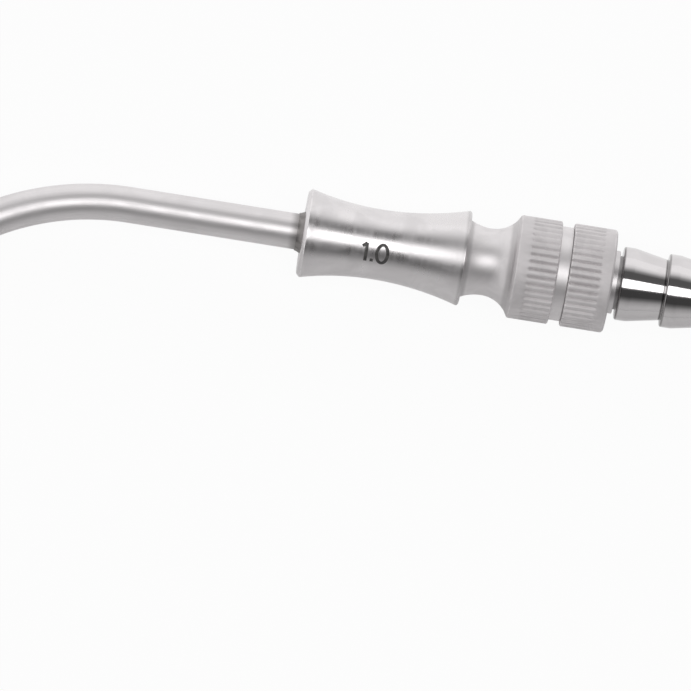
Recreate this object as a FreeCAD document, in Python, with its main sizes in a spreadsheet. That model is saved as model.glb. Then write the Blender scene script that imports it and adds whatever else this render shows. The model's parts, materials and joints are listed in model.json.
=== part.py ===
import FreeCAD, Part
import math
import os

import Sketcher

# Frazier suction tip: a bent suction tube brazed into a polished waisted grip
# sleeve, a satin hub with a knurled band behind it, and a barbed hose nozzle
# that a knurled union nut draws against the hub. Millimetres.
#
# Every piece is drawn in the handle's own frame: X runs along the handle with
# zero at the sleeve's front face and plus towards the hose, and the tube bends
# towards minus Y. The pieces are then laid down together as they come to rest.

# Driving sizes. A size named _outer, _inner, _bore, _rim or _waist is a diameter.
SIZES = {
    "tube_outer": 4.0,
    "tube_inner": 3.2,
    "tube_front_run": 19.4,
    "bend_radius": 30.0,
    "bend_angle": 45.0,
    "tube_end_run": 47.0,
    "taper_length": 7.0,
    "nose_length": 3.0,
    "nose_outer": 2.0,
    "nose_bore": 1.0,
    "nose_rounding": 0.28,
    "braze_gap": 0.02,
    "fillet_length": 0.65,
    "fillet_height": 0.34,
    "fillet_edge": 0.08,
    "sleeve_length": 18.3,
    "sleeve_front_rim": 9.95,
    "sleeve_waist": 7.84,
    "sleeve_waist_place": 8.4,
    "sleeve_rear_rim": 10.66,
    "front_rim_chamfer": 0.38,
    "rear_rim_chamfer": 0.2,
    "socket_bore": 6.0,
    "socket_depth": 6.0,
    "tube_seat_depth": 2.0,
    "neck_length": 5.15,
    "neck_front_outer": 8.7,
    "neck_waist": 7.5,
    "neck_waist_place": 2.4,
    "cove_outer": 10.16,
    "shoulder_length": 0.42,
    "band_outer": 11.55,
    "front_land": 1.2,
    "front_knurl": 3.35,
    "groove_width": 1.33,
    "groove_floor_outer": 10.5,
    "edge_break": 0.12,
    "knurl_count": 42,
    "knurl_depth": 0.25,
    "knurl_width": 0.5,
    "knurl_runout": 0.2,
    "thread_outer": 10.0,
    "thread_depth": 0.4,
    "thread_clearance": 0.03,
    "spigot_length": 2.85,
    "spigot_chamfer": 0.25,
    "seal_thickness": 0.35,
    "seal_outer": 8.8,
    "pilot_outer": 5.8,
    "pilot_length": 3.2,
    "pilot_clearance": 0.04,
    "pilot_end_room": 0.3,
    "flange_outer": 9.1,
    "flange_thickness": 0.7,
    "journal_outer": 8.3,
    "journal_clearance": 0.05,
    "nut_face_clearance": 0.05,
    "nut_end_wall": 1.0,
    "rear_land": 1.22,
    "nut_rear_chamfer": 0.22,
    "collar_outer": 7.05,
    "collar_length": 1.0,
    "relief_length": 0.36,
    "relief_outer": 6.0,
    "barb_outer": 8.2,
    "barb_land": 1.3,
    "barb_edge": 0.16,
    "barb_root_outer": 6.8,
    "barb_pitch": 5.1,
    "barb_undercut": 0.12,
    "barb_count": 4,
    "tail_bore": 4.4,
    "tail_lip": 0.35,
}

# Stations along the handle, each worked out from the one before it.
SLEEVE_REAR = "Size.sleeve_length"
SOCKET_FLOOR = f"({SLEEVE_REAR} - Size.socket_depth)"
TUBE_REAR = f"({SOCKET_FLOOR} + Size.tube_seat_depth)"
NECK_REAR = f"({SLEEVE_REAR} + Size.neck_length)"
BAND_FRONT = f"({NECK_REAR} + Size.shoulder_length)"
FRONT_KNURL = f"({BAND_FRONT} + Size.front_land)"
GROOVE_FRONT = f"({FRONT_KNURL} + Size.front_knurl)"
GROOVE_REAR = f"({GROOVE_FRONT} + Size.groove_width)"
NUT_FRONT = f"({GROOVE_REAR} + Size.nut_face_clearance)"
SPIGOT_END = f"({GROOVE_REAR} + Size.spigot_length)"
FLANGE_FRONT = f"({SPIGOT_END} + Size.seal_thickness)"
FLANGE_REAR = f"({FLANGE_FRONT} + Size.flange_thickness)"
NUT_REAR = f"({FLANGE_REAR} + Size.nut_end_wall)"
COLLAR_REAR = f"({NUT_REAR} + Size.collar_length)"
TAIL_END = f"({COLLAR_REAR} + Size.barb_pitch * Size.barb_count)"
PILOT_FRONT = f"({FLANGE_FRONT} - Size.pilot_length)"
PILOT_BORE_FLOOR = f"({PILOT_FRONT} - Size.pilot_end_room)"

# Where the tube's bend and its last straight run end.
BEND_END_X = "(-Size.tube_front_run - Size.bend_radius * sin(Size.bend_angle * 1deg))"
BEND_END_Y = "(-Size.bend_radius * (1 - cos(Size.bend_angle * 1deg)))"
RUN_END_X = f"({BEND_END_X} - Size.tube_end_run * cos(Size.bend_angle * 1deg))"
RUN_END_Y = f"({BEND_END_Y} - Size.tube_end_run * sin(Size.bend_angle * 1deg))"

doc = FreeCAD.newDocument("FrazierSuctionTip")
sheet = doc.addObject("Spreadsheet::Sheet", "Size")
for row, (alias, value) in enumerate(SIZES.items(), start=1):
    sheet.set(f"A{row}", alias)
    sheet.set(f"B{row}", str(value))
    sheet.setAlias(f"B{row}", alias)
doc.recompute()


def number(expression):
    """The present value of an expression on the sheet's sizes."""
    value = sheet.evalExpression(expression)
    return float(getattr(value, "Value", value))


def new_body(label):
    body = doc.addObject("PartDesign::Body", label)
    body.Label = label
    return body


def origin_feature(body, role):
    return next(item for item in body.Origin.OriginFeatures if item.Role == role)


def new_sketch(body, name, plane="XY_Plane"):
    sketch = body.newObject("Sketcher::SketchObject", name)
    sketch.AttachmentSupport = (origin_feature(body, plane), [""])
    sketch.MapMode = "FlatFace"
    return sketch


def bind_point(sketch, index, end, x, y):
    """Hold one end of an edge at (x, y), both given as expressions."""
    for kind, expression in (("DistanceX", x), ("DistanceY", y)):
        place = sketch.addConstraint(
            Sketcher.Constraint(kind, -1, 1, index, end, number(expression)))
        sketch.setExpression(f"Constraints[{place}]", expression)


def draw_chain(sketch, corners, closed=True):
    """Join the corners in order. A corner is (x, y), or (x, y, radius, side) where
    the edge that arrives at it is an arc: side is 1 where the arc's centre lies to
    the left of the way from the corner before, and -1 to the right."""
    points = [FreeCAD.Vector(number(c[0]), number(c[1]), 0) for c in corners]
    count = len(corners) if closed else len(corners) - 1
    for index in range(count):
        start = points[index]
        target = (index + 1) % len(corners)
        end = points[target]
        corner = corners[target]
        if len(corner) == 2:
            sketch.addGeometry(Part.LineSegment(start, end))
            continue
        radius, side = number(corner[2]), corner[3]
        half = (end - start) / 2
        rise = math.sqrt(radius ** 2 - half.Length ** 2)
        left = FreeCAD.Vector(-half.y, half.x, 0).normalize() * side
        centre = start + half + left * rise
        middle = centre - left * radius
        first, last = (start, end) if side > 0 else (end, start)
        sketch.addGeometry(Part.Arc(first, middle, last))
    for index in range(count):
        target = (index + 1) % len(corners)
        edge = sketch.Geometry[index]
        first_end = 1 if edge.StartPoint.distanceToPoint(points[index]) < 1e-6 else 2
        bind_point(sketch, index, first_end, *corners[index][:2])
        if index + 1 < count:
            following = sketch.Geometry[index + 1]
            meets = following.StartPoint.distanceToPoint(points[target]) < 1e-6
            joined = (index + 1, 1 if meets else 2)
            sketch.addConstraint(Sketcher.Constraint("Coincident", index, 3 - first_end, *joined))
        elif closed:
            first = sketch.Geometry[0]
            meets = first.StartPoint.distanceToPoint(points[0]) < 1e-6
            sketch.addConstraint(
                Sketcher.Constraint("Coincident", index, 3 - first_end, 0, 1 if meets else 2))
        else:
            bind_point(sketch, index, 3 - first_end, *corners[target][:2])
        if len(corners[target]) > 2:
            radius = sketch.addConstraint(
                Sketcher.Constraint("Radius", index, number(corners[target][2])))
            sketch.setExpression(f"Constraints[{radius}]", corners[target][2])


def circle(sketch, diameter):
    """A circle about the sketch's origin, its diameter an expression."""
    index = sketch.addGeometry(
        Part.Circle(FreeCAD.Vector(), FreeCAD.Vector(0, 0, 1), number(diameter) / 2))
    sketch.addConstraint(Sketcher.Constraint("Coincident", index, 3, -1, 1))
    size = sketch.addConstraint(Sketcher.Constraint("Diameter", index, number(diameter)))
    sketch.setExpression(f"Constraints[{size}]", diameter)


def turned(body, name, corners):
    """A closed outline of (station, radius) corners turned about the handle's axis."""
    sketch = new_sketch(body, name + "_outline")
    draw_chain(sketch, corners)
    feature = body.newObject("PartDesign::Revolution", name)
    feature.Profile = sketch
    feature.ReferenceAxis = (origin_feature(body, "X_Axis"), [""])
    feature.Angle = 360
    return feature


def arc_radius(run, rise):
    """The radius of an arc that leaves the axis' direction and climbs rise over run."""
    return f"(({run}) ^ 2 + ({rise}) ^ 2) / (2 * ({rise}))"


def knurl(body, rear, length):
    """Straight V grooves round a band, from its rear station forward."""
    plain_volume = body.Tip.Shape.Volume
    sketch = new_sketch(body, "knurl_groove", "YZ_Plane")
    sketch.setExpression("AttachmentOffset.Base.z", rear)
    lift = "(1 + Size.edge_break / Size.knurl_depth)"
    top = "Size.band_outer / 2 + Size.edge_break"
    draw_chain(sketch, [
        ("0", "Size.band_outer / 2 - Size.knurl_depth"),
        (f"Size.knurl_width / 2 * {lift}", top),
        (f"-Size.knurl_width / 2 * {lift}", top),
    ])
    groove = body.newObject("PartDesign::Pocket", "knurl_cut")
    groove.Profile = sketch
    groove.setExpression("Length", length)
    doc.recompute()
    ring = body.newObject("PartDesign::PolarPattern", "knurl_ring")
    ring.Originals = [groove]
    ring.Axis = (origin_feature(body, "X_Axis"), [""])
    ring.Angle = 360
    ring.setExpression("Occurrences", "Size.knurl_count")
    body.Tip = ring
    doc.recompute()
    if ring.Shape.Volume >= plain_volume:
        raise RuntimeError(f"the knurl on {body.Label} cuts nothing")


def make_suction_tube():
    """The bent tube, from its seat in the hub to the swaged nose."""
    body = new_body("suction_tube")
    path = new_sketch(body, "tube_path")
    draw_chain(path, [
        (TUBE_REAR, "0"),
        ("-Size.tube_front_run", "0"),
        (BEND_END_X, BEND_END_Y, "Size.bend_radius", 1),
        (RUN_END_X, RUN_END_Y),
    ], closed=False)
    section = new_sketch(body, "tube_section", "YZ_Plane")
    section.setExpression("AttachmentOffset.Base.z", TUBE_REAR)
    circle(section, "Size.tube_outer")
    circle(section, "Size.tube_inner")
    tube = body.newObject("PartDesign::AdditivePipe", "tube")
    tube.Profile = section
    tube.Spine = path
    tube.Transition = "Right corner"

    nose_outline = new_sketch(body, "nose_outline")
    nose_outline.setExpression("AttachmentOffset.Base.x", RUN_END_X)
    nose_outline.setExpression("AttachmentOffset.Base.y", RUN_END_Y)
    nose_outline.setExpression("AttachmentOffset.Rotation.Angle", "Size.bend_angle * 1deg")
    taper_end = "-Size.taper_length"
    nose_end = f"({taper_end} - Size.nose_length)"
    draw_chain(nose_outline, [
        ("0", "Size.tube_inner / 2"),
        ("0", "Size.tube_outer / 2"),
        (taper_end, "Size.nose_outer / 2"),
        (f"{nose_end} + Size.nose_rounding", "Size.nose_outer / 2"),
        (nose_end, "Size.nose_outer / 2 - Size.nose_rounding", "Size.nose_rounding", 1),
        (nose_end, "Size.nose_bore / 2"),
        (taper_end, "Size.nose_bore / 2"),
    ])
    nose = body.newObject("PartDesign::Revolution", "nose")
    nose.Profile = nose_outline
    nose.ReferenceAxis = (nose_outline, ["H_Axis"])
    nose.Angle = 360
    return body


def make_solder_fillet():
    """The ring of braze metal in the corner of the tube and the sleeve's face."""
    body = new_body("solder_fillet")
    inner = "Size.tube_outer / 2 + Size.braze_gap"
    turned(body, "fillet", [
        ("0", inner),
        ("0", f"{inner} + Size.fillet_height"),
        ("-Size.fillet_length", f"{inner} + Size.fillet_edge"),
        ("-Size.fillet_length", inner),
    ])
    return body


def make_grip_sleeve():
    """The polished sleeve: two wide arcs that meet at its waist."""
    body = new_body("grip_sleeve")
    tube_bore = "Size.tube_outer / 2 + Size.braze_gap"
    front_rise = "(Size.sleeve_front_rim - Size.sleeve_waist) / 2"
    rear_rise = "(Size.sleeve_rear_rim - Size.sleeve_waist) / 2"
    rear_crest = f"({SLEEVE_REAR} - Size.rear_rim_chamfer)"
    turned(body, "sleeve", [
        ("0", tube_bore),
        ("0", "Size.sleeve_front_rim / 2 - Size.front_rim_chamfer"),
        ("Size.front_rim_chamfer", "Size.sleeve_front_rim / 2"),
        ("Size.sleeve_waist_place", "Size.sleeve_waist / 2",
         arc_radius("Size.sleeve_waist_place - Size.front_rim_chamfer", front_rise), 1),
        (rear_crest, "Size.sleeve_rear_rim / 2",
         arc_radius(f"{rear_crest} - Size.sleeve_waist_place", rear_rise), 1),
        (SLEEVE_REAR, "Size.sleeve_rear_rim / 2 - Size.rear_rim_chamfer"),
        (SLEEVE_REAR, "Size.socket_bore / 2"),
        (SOCKET_FLOOR, "Size.socket_bore / 2"),
        (SOCKET_FLOOR, tube_bore),
    ])
    return body


def make_coupling_hub():
    """The satin hub: a plug in the sleeve, a coved neck, the front knurled band,
    the floor of the groove, and the spigot that carries the thread."""
    body = new_body("coupling_hub")
    plug = "Size.socket_bore / 2 - Size.braze_gap"
    seat = "Size.tube_outer / 2 + Size.braze_gap"
    band = "Size.band_outer / 2"
    spigot = "(Size.thread_outer / 2 - Size.thread_depth)"
    neck_waist = f"({SLEEVE_REAR} + Size.neck_waist_place)"
    front_rise = "(Size.neck_front_outer - Size.neck_waist) / 2"
    cove_rise = "(Size.cove_outer - Size.neck_waist) / 2"
    pilot_bore = "Size.pilot_outer / 2 + Size.pilot_clearance"
    turned(body, "hub", [
        (SOCKET_FLOOR, seat),
        (SOCKET_FLOOR, plug),
        (SLEEVE_REAR, plug),
        (SLEEVE_REAR, "Size.neck_front_outer / 2"),
        (neck_waist, "Size.neck_waist / 2", arc_radius("Size.neck_waist_place", front_rise), 1),
        (NECK_REAR, "Size.cove_outer / 2",
         arc_radius("Size.neck_length - Size.neck_waist_place", cove_rise), 1),
        (BAND_FRONT, band),
        (f"{GROOVE_FRONT} - Size.edge_break", band),
        (GROOVE_FRONT, f"{band} - Size.edge_break"),
        (GROOVE_FRONT, "Size.groove_floor_outer / 2"),
        (GROOVE_REAR, "Size.groove_floor_outer / 2"),
        (GROOVE_REAR, spigot),
        (f"{SPIGOT_END} - Size.spigot_chamfer", spigot),
        (SPIGOT_END, f"{spigot} - Size.spigot_chamfer"),
        (SPIGOT_END, pilot_bore),
        (PILOT_BORE_FLOOR, pilot_bore),
        (PILOT_BORE_FLOOR, "Size.tube_inner / 2"),
        (TUBE_REAR, "Size.tube_inner / 2"),
        (TUBE_REAR, seat),
    ])
    doc.recompute()
    knurl(body, f"{GROOVE_FRONT} + Size.knurl_runout", "Size.front_knurl + Size.knurl_runout")
    return body


def make_seal_ring():
    """The flat gasket on the nozzle's pilot, between spigot and flange."""
    body = new_body("seal_ring")
    inner = "Size.pilot_outer / 2 + Size.pilot_clearance"
    turned(body, "seal", [
        (SPIGOT_END, inner),
        (SPIGOT_END, "Size.seal_outer / 2"),
        (FLANGE_FRONT, "Size.seal_outer / 2"),
        (FLANGE_FRONT, inner),
    ])
    return body


def make_hose_nozzle():
    """The polished nozzle: pilot, flange, journal, collar, relief and the hose barbs."""
    body = new_body("hose_nozzle")
    pilot = "Size.pilot_outer / 2"
    tail_root = "Size.barb_root_outer / 2"
    bore = "Size.tail_bore / 2"
    turned(body, "core", [
        (PILOT_FRONT, bore),
        (PILOT_FRONT, f"{pilot} - Size.edge_break"),
        (f"{PILOT_FRONT} + Size.edge_break", pilot),
        (FLANGE_FRONT, pilot),
        (FLANGE_FRONT, "Size.flange_outer / 2"),
        (FLANGE_REAR, "Size.flange_outer / 2"),
        (FLANGE_REAR, "Size.journal_outer / 2"),
        (NUT_REAR, "Size.journal_outer / 2"),
        (NUT_REAR, "Size.collar_outer / 2"),
        (f"{COLLAR_REAR} - Size.relief_length", "Size.collar_outer / 2"),
        (f"{COLLAR_REAR} - Size.relief_length", "Size.relief_outer / 2"),
        (COLLAR_REAR, "Size.relief_outer / 2"),
        (COLLAR_REAR, tail_root),
        (f"{TAIL_END} - Size.tail_lip", tail_root),
        (TAIL_END, f"{tail_root} - Size.tail_lip"),
        (TAIL_END, bore),
    ])
    inside = f"({tail_root} + {bore}) / 2"
    turned(body, "barb", [
        (COLLAR_REAR, inside),
        (COLLAR_REAR, "Size.barb_outer / 2 - Size.barb_edge"),
        (f"{COLLAR_REAR} + Size.barb_edge", "Size.barb_outer / 2", "Size.barb_edge", -1),
        (f"{COLLAR_REAR} + Size.barb_land", "Size.barb_outer / 2"),
        (f"{COLLAR_REAR} + Size.barb_pitch - Size.barb_undercut", tail_root),
        (f"{COLLAR_REAR} + Size.barb_pitch - Size.barb_undercut", inside),
    ])
    doc.recompute()
    barb = body.Tip
    row = body.newObject("PartDesign::LinearPattern", "barb_row")
    row.Originals = [barb]
    row.Direction = (origin_feature(body, "X_Axis"), [""])
    row.setExpression("Length", "Size.barb_pitch * (Size.barb_count - 1)")
    row.setExpression("Occurrences", "Size.barb_count")
    body.Tip = row
    return body


def make_coupling_nut():
    """The union nut: the rear knurled band, its threaded bore and its end wall."""
    body = new_body("coupling_nut")
    band = "Size.band_outer / 2"
    thread_bore = "Size.thread_outer / 2 + Size.thread_clearance"
    turned(body, "nut", [
        (NUT_FRONT, thread_bore),
        (NUT_FRONT, f"{band} - Size.edge_break"),
        (f"{NUT_FRONT} + Size.edge_break", band),
        (f"{NUT_REAR} - Size.nut_rear_chamfer", band),
        (NUT_REAR, f"{band} - Size.nut_rear_chamfer"),
        (NUT_REAR, "Size.journal_outer / 2 + Size.journal_clearance"),
        (FLANGE_REAR, "Size.journal_outer / 2 + Size.journal_clearance"),
        (FLANGE_REAR, thread_bore),
    ])
    doc.recompute()
    knurl_rear = f"({NUT_REAR} - Size.rear_land)"
    knurl(body, knurl_rear, f"{knurl_rear} - {NUT_FRONT} + Size.knurl_runout")
    return body


pieces = [
    make_suction_tube(),
    make_solder_fillet(),
    make_grip_sleeve(),
    make_coupling_hub(),
    make_seal_ring(),
    make_hose_nozzle(),
    make_coupling_nut(),
]
doc.recompute()

# At rest the sleeve's front rim and the front band's corner carry the handle, so it
# dips towards the tube, and it rolls until the tube lies on the end of its last run.
dip = math.atan2(
    number("(Size.band_outer - Size.sleeve_front_rim) / 2"),
    number(f"{BAND_FRONT} - Size.front_rim_chamfer"))
axis_height = (number("Size.sleeve_front_rim / 2") * math.cos(dip)
               - number("Size.front_rim_chamfer") * math.sin(dip))
run_end = FreeCAD.Vector(number(RUN_END_X), number(RUN_END_Y), 0)
drop = axis_height + run_end.x * math.sin(dip) - number("Size.tube_outer / 2")
roll = math.asin(-drop / (run_end.y * math.cos(dip)))
dip_turn = FreeCAD.Rotation(FreeCAD.Vector(0, 1, 0), -math.degrees(dip))
roll_turn = FreeCAD.Rotation(FreeCAD.Vector(1, 0, 0), math.degrees(roll))
rest_turn = dip_turn.multiply(roll_turn)

for piece in pieces:
    piece.Placement = FreeCAD.Placement(FreeCAD.Vector(0, 0, axis_height), rest_turn)
doc.recompute()

# The origin is the middle of the whole part's footprint.
lying = FreeCAD.BoundBox()
for piece in pieces:
    lying.add(piece.Shape.optimalBoundingBox(False, False))
footing = FreeCAD.Vector(-lying.Center.x, -lying.Center.y, axis_height - lying.ZMin)
for piece in pieces:
    piece.Placement = FreeCAD.Placement(footing, rest_turn)
doc.recompute()

for item in doc.Objects:
    if "Invalid" in item.State or "Error" in item.State:
        raise RuntimeError(f"{item.Label} failed: {item.State}")
for piece in pieces:
    if piece.Shape.isNull() or not piece.Shape.isValid() or len(piece.Shape.Solids) != 1:
        raise RuntimeError(f"{piece.Label} is not one valid solid")

os.makedirs("parts", exist_ok=True)
for piece in pieces:
    piece.Shape.exportStep(f"parts/{piece.Label}.step")
    print(f"{piece.Label}: {piece.Shape.Volume:.1f} mm3, {len(piece.Shape.Faces)} faces")
print("footing", tuple(round(value, 4) for value in footing),
      "dip", round(math.degrees(dip), 4), "roll", round(math.degrees(roll), 4))
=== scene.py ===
import json
import math

import bpy
from mathutils import Matrix, Vector


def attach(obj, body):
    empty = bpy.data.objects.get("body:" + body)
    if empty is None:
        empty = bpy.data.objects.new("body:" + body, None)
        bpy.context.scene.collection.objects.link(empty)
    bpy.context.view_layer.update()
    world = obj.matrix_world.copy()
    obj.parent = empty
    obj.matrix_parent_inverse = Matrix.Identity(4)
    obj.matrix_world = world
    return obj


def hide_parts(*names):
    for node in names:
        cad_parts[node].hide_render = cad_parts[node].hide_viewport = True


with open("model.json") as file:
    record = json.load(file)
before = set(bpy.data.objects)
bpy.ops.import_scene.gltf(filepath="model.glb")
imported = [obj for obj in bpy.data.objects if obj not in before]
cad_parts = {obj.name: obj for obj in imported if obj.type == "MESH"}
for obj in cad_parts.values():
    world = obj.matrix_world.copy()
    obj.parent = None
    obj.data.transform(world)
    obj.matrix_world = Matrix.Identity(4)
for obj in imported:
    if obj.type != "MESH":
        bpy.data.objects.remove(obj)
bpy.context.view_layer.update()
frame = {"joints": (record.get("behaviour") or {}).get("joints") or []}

MM = 0.001

# Sizes in millimetres, the same as those of the solids. Names ending in _R are radii.
TUBE_R, TUBE_BORE_R = 2.0, 1.6
FRONT_RUN, BEND_R, BEND_TURN, END_RUN = 19.4, 30.0, math.radians(45.0), 47.0
TAPER, NOSE, NOSE_R, NOSE_BORE_R, NOSE_ROUNDING = 7.0, 3.0, 1.0, 0.5, 0.28
BRAZE_GAP, BRAZE_LENGTH, BRAZE_HEIGHT, BRAZE_EDGE = 0.02, 0.65, 0.34, 0.08
SLEEVE, FRONT_RIM_R, WAIST_R, WAIST_AT, REAR_RIM_R = 18.3, 4.975, 3.92, 8.4, 5.33
FRONT_CHAMFER, REAR_CHAMFER = 0.38, 0.2
SOCKET_R, SOCKET_DEPTH, TUBE_SEAT = 3.0, 6.0, 2.0
NECK, NECK_FRONT_R, NECK_R, NECK_AT, COVE_R, SHOULDER = 5.15, 4.35, 3.75, 2.4, 5.08, 0.42
BAND_R, FRONT_LAND, FRONT_KNURL, GROOVE, GROOVE_R = 5.775, 1.2, 3.35, 1.33, 5.25
EDGE_BREAK, KNURLS, KNURL_DEPTH, KNURL_WIDTH = 0.12, 42, 0.25, 0.5
THREAD_R, THREAD_DEPTH, THREAD_GAP = 5.0, 0.4, 0.03
SPIGOT, SPIGOT_CHAMFER, SEAL, SEAL_R = 2.85, 0.25, 0.35, 4.4
PILOT_R, PILOT, PILOT_GAP, PILOT_ROOM = 2.9, 3.2, 0.04, 0.3
FLANGE_R, FLANGE, JOURNAL_R, JOURNAL_GAP = 4.55, 0.7, 4.15, 0.05
NUT_GAP, NUT_WALL, REAR_LAND, NUT_CHAMFER = 0.05, 1.0, 1.22, 0.22
COLLAR_R, COLLAR, BARB_R, BARB_LAND = 3.525, 1.0, 4.1, 1.3
RELIEF, RELIEF_R, BARB_EDGE = 0.36, 3.0, 0.16
BARB_ROOT_R, BARB_PITCH, BARB_UNDERCUT, BARBS = 3.4, 5.1, 0.12, 4
TAIL_BORE_R, TAIL_LIP = 2.2, 0.35

# What only this scene has. The tube: how far its tapers are eased, outside and in the bore,
# and two extra rows of corners on its front run.
TAPER_EASE, NOSE_EASE, BORE_TAPER_EASE, BORE_NOSE_EASE = 0.9, 0.7, 0.5, 0.3
FRONT_RUN_ROWS = (-6.0, -12.0)

# The knurl's grooves: the slant of their closed ends, and how far the open ones run past.
KNURL_RAMP, KNURL_PAST = 0.35, 0.01

# The thread's ridge: how far a turn carries it, half its width at foot and crest, how far its
# foot is sunk and its crest held back, and what is left free before and behind it.
THREAD_PITCH, THREAD_FOOT, THREAD_CREST = 0.75, 0.33, 0.06
THREAD_SINK, THREAD_HELD, THREAD_LEAD, THREAD_END = 0.03, 0.02, 0.45, 0.3

# Stations along the handle, from the sleeve's front face towards the hose.
SOCKET_FLOOR = SLEEVE - SOCKET_DEPTH
TUBE_REAR = SOCKET_FLOOR + TUBE_SEAT
NECK_REAR = SLEEVE + NECK
BAND_FRONT = NECK_REAR + SHOULDER
KNURL_FRONT = BAND_FRONT + FRONT_LAND
GROOVE_FRONT = KNURL_FRONT + FRONT_KNURL
GROOVE_REAR = GROOVE_FRONT + GROOVE
NUT_FRONT = GROOVE_REAR + NUT_GAP
SPIGOT_END = GROOVE_REAR + SPIGOT
FLANGE_FRONT = SPIGOT_END + SEAL
FLANGE_REAR = FLANGE_FRONT + FLANGE
NUT_REAR = FLANGE_REAR + NUT_WALL
COLLAR_REAR = NUT_REAR + COLLAR
TAIL_END = COLLAR_REAR + BARB_PITCH * BARBS
PILOT_FRONT = FLANGE_FRONT - PILOT
PILOT_FLOOR = PILOT_FRONT - PILOT_ROOM
RELIEF_FRONT = COLLAR_REAR - RELIEF

# The handle's own frame as it lies: the hinge of the nut gives its axis and a point.
hinge = next(joint for joint in frame["joints"] if joint["type"] == "hinge")
AXIS = Vector(hinge["axis"]).normalized()
DIP = math.asin(AXIS.z)
AXIS_HEIGHT = hinge["pos_m"][2] / MM - NUT_REAR * math.sin(DIP)
RUN_END_X = -FRONT_RUN - BEND_R * math.sin(BEND_TURN) - END_RUN * math.cos(BEND_TURN)
RUN_END_Y = -BEND_R * (1 - math.cos(BEND_TURN)) - END_RUN * math.sin(BEND_TURN)
DROP = AXIS_HEIGHT + RUN_END_X * math.sin(DIP) - TUBE_R
ROLL = math.asin(-DROP / (RUN_END_Y * math.cos(DIP)))
LYING = Matrix.Rotation(-DIP, 4, "Y") @ Matrix.Rotation(ROLL, 4, "X")
HANDLE = (Matrix.Translation(Vector(hinge["pos_m"]) - AXIS * NUT_REAR * MM)
          @ LYING @ Matrix.Scale(MM, 4))

# The size number on the sleeve: its place, height and stroke, how far it stands proud, where
# its point and nought start in heights, and the longest stretch that is left straight.
MARK_AT, MARK_TURN, MARK_HEIGHT, MARK_STROKE, MARK_RISE = 7.2, math.radians(-30.0), 2.1, 0.36, 0.012
POINT_AT, NOUGHT_AT, MARK_STEP = 0.34, 0.86, 0.12

# The view: the picture is 691 pixels wide at 9 pixels to the millimetre.
# The camera leans from the handle's own upright by LEAN, towards the tube.
SLOPE, LEAN = math.radians(9.05), math.radians(1.8)
VIEW_WIDTH, VIEW_RIGHT, VIEW_DOWN, VIEW_DISTANCE = 691 / 9, 4.776, 12.56, 1.5

# The room's brightness by its angle from overhead, in degrees towards plus Y, and at the two
# ends of the handle, which take over where a direction's X lies between the ENDS.
ROOM = ((-180, 0.4), (-100, 0.54), (-75, 0.52), (-60, 0.37), (-49, 0.16), (-40, 0.055),
        (-18, 0.055), (-8, 0.3), (8, 0.3), (18, 0.1), (38, 0.1), (46, 0.3), (56, 0.75),
        (66, 0.98), (100, 1.0), (180, 0.6))
ROOM_LEVEL, TUBE_END, HOSE_END, ENDS = 1.08, 0.88, 0.3, (0.58, 0.82)

# The floor: half its side, the share of plain white that the camera and the metal see in it,
# and between which Y the metal's share comes in, in metres; that share is a painted glow, which
# makes the floor brighter to the metal on the plus Y side.
FLOOR_HALF, FLOOR_GLOW, FLOOR_SHEEN_GLOW, FLOOR_GLOW_Y = 3.5, 0.94, 0.95, (0.01, 0.034)

# The softbox: the point it faces, where it hangs from there, its long and short side, in metres.
SOFTBOX_AIM, SOFTBOX_RISE, SOFTBOX_SIZE = Vector((0.02, 0.022, 0.0)), (0.0, 0.02, 0.8), (1.1, 0.38)
SOFTBOX_WATTS = 2.85

# Steel is a level of grey times its tint. Then come the level of grey that the sleeve darkens to at
# its rear rim and that painted shade takes the satin steel to, the colour that the heat of brazing
# leaves, and the colour of the painted shade in the nozzle's relief and at the front of its barbs.
STEEL_TINT, DARK_STEEL = (1.022, 0.988, 0.996), 0.35
GREYED, CREVICE_SHADE = (0.30, 0.285, 0.28), (0.10, 0.095, 0.093)

# How far along the tube the heat of brazing has greyed it.
HEAT_REACH = 1.7

# Outlines: a corner is (station, radius), and a third value sets how far it is eased.
EASE = 0.05

# Edges sharper than this stay sharp in the shading.
SHARP = math.radians(35.0)


def arc(start, end, radius, steps=28):
    """Points on an arc from start to end, its centre to the left of the way."""
    first, last = Vector(start), Vector(end)
    half = (last - first) / 2
    left = Vector((-half.y, half.x)).normalized()
    centre = first + half + left * math.sqrt(radius ** 2 - half.length ** 2)
    angle = (first - centre).angle_signed(last - centre)
    spoke = first - centre
    points = []
    for step in range(steps + 1):
        turn = Matrix.Rotation(-angle * step / steps, 2)
        points.append(tuple(centre + turn @ spoke) + (0.0,))
    return points


def around(columns):
    """Angles once round the axis."""
    return [math.tau * column / columns for column in range(columns)]


def cove(run, rise):
    """The radius of an arc that leaves along the axis and climbs rise over run."""
    return (run ** 2 + rise ** 2) / (2 * rise)


def eased(outline, steps=4):
    """The closed outline with its corners rounded."""
    result = []
    count = len(outline)
    for index, corner in enumerate(outline):
        here = Vector(corner[:2])
        size = corner[2] if len(corner) > 2 else EASE
        before = Vector(outline[index - 1][:2]) - here
        after = Vector(outline[(index + 1) % count][:2]) - here
        reach = min(size, before.length * 0.45, after.length * 0.45)
        if reach < 1e-4:
            result.append(here)
            continue
        first = here + before.normalized() * reach
        last = here + after.normalized() * reach
        for step in range(steps + 1):
            share = step / steps
            result.append(first * (1 - share) ** 2 + here * 2 * share * (1 - share)
                          + last * share ** 2)
    return result


def straight(station):
    """The handle's centre and its sideways direction."""
    return Vector((station, 0, 0)), Vector((0, 1, 0))


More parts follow.
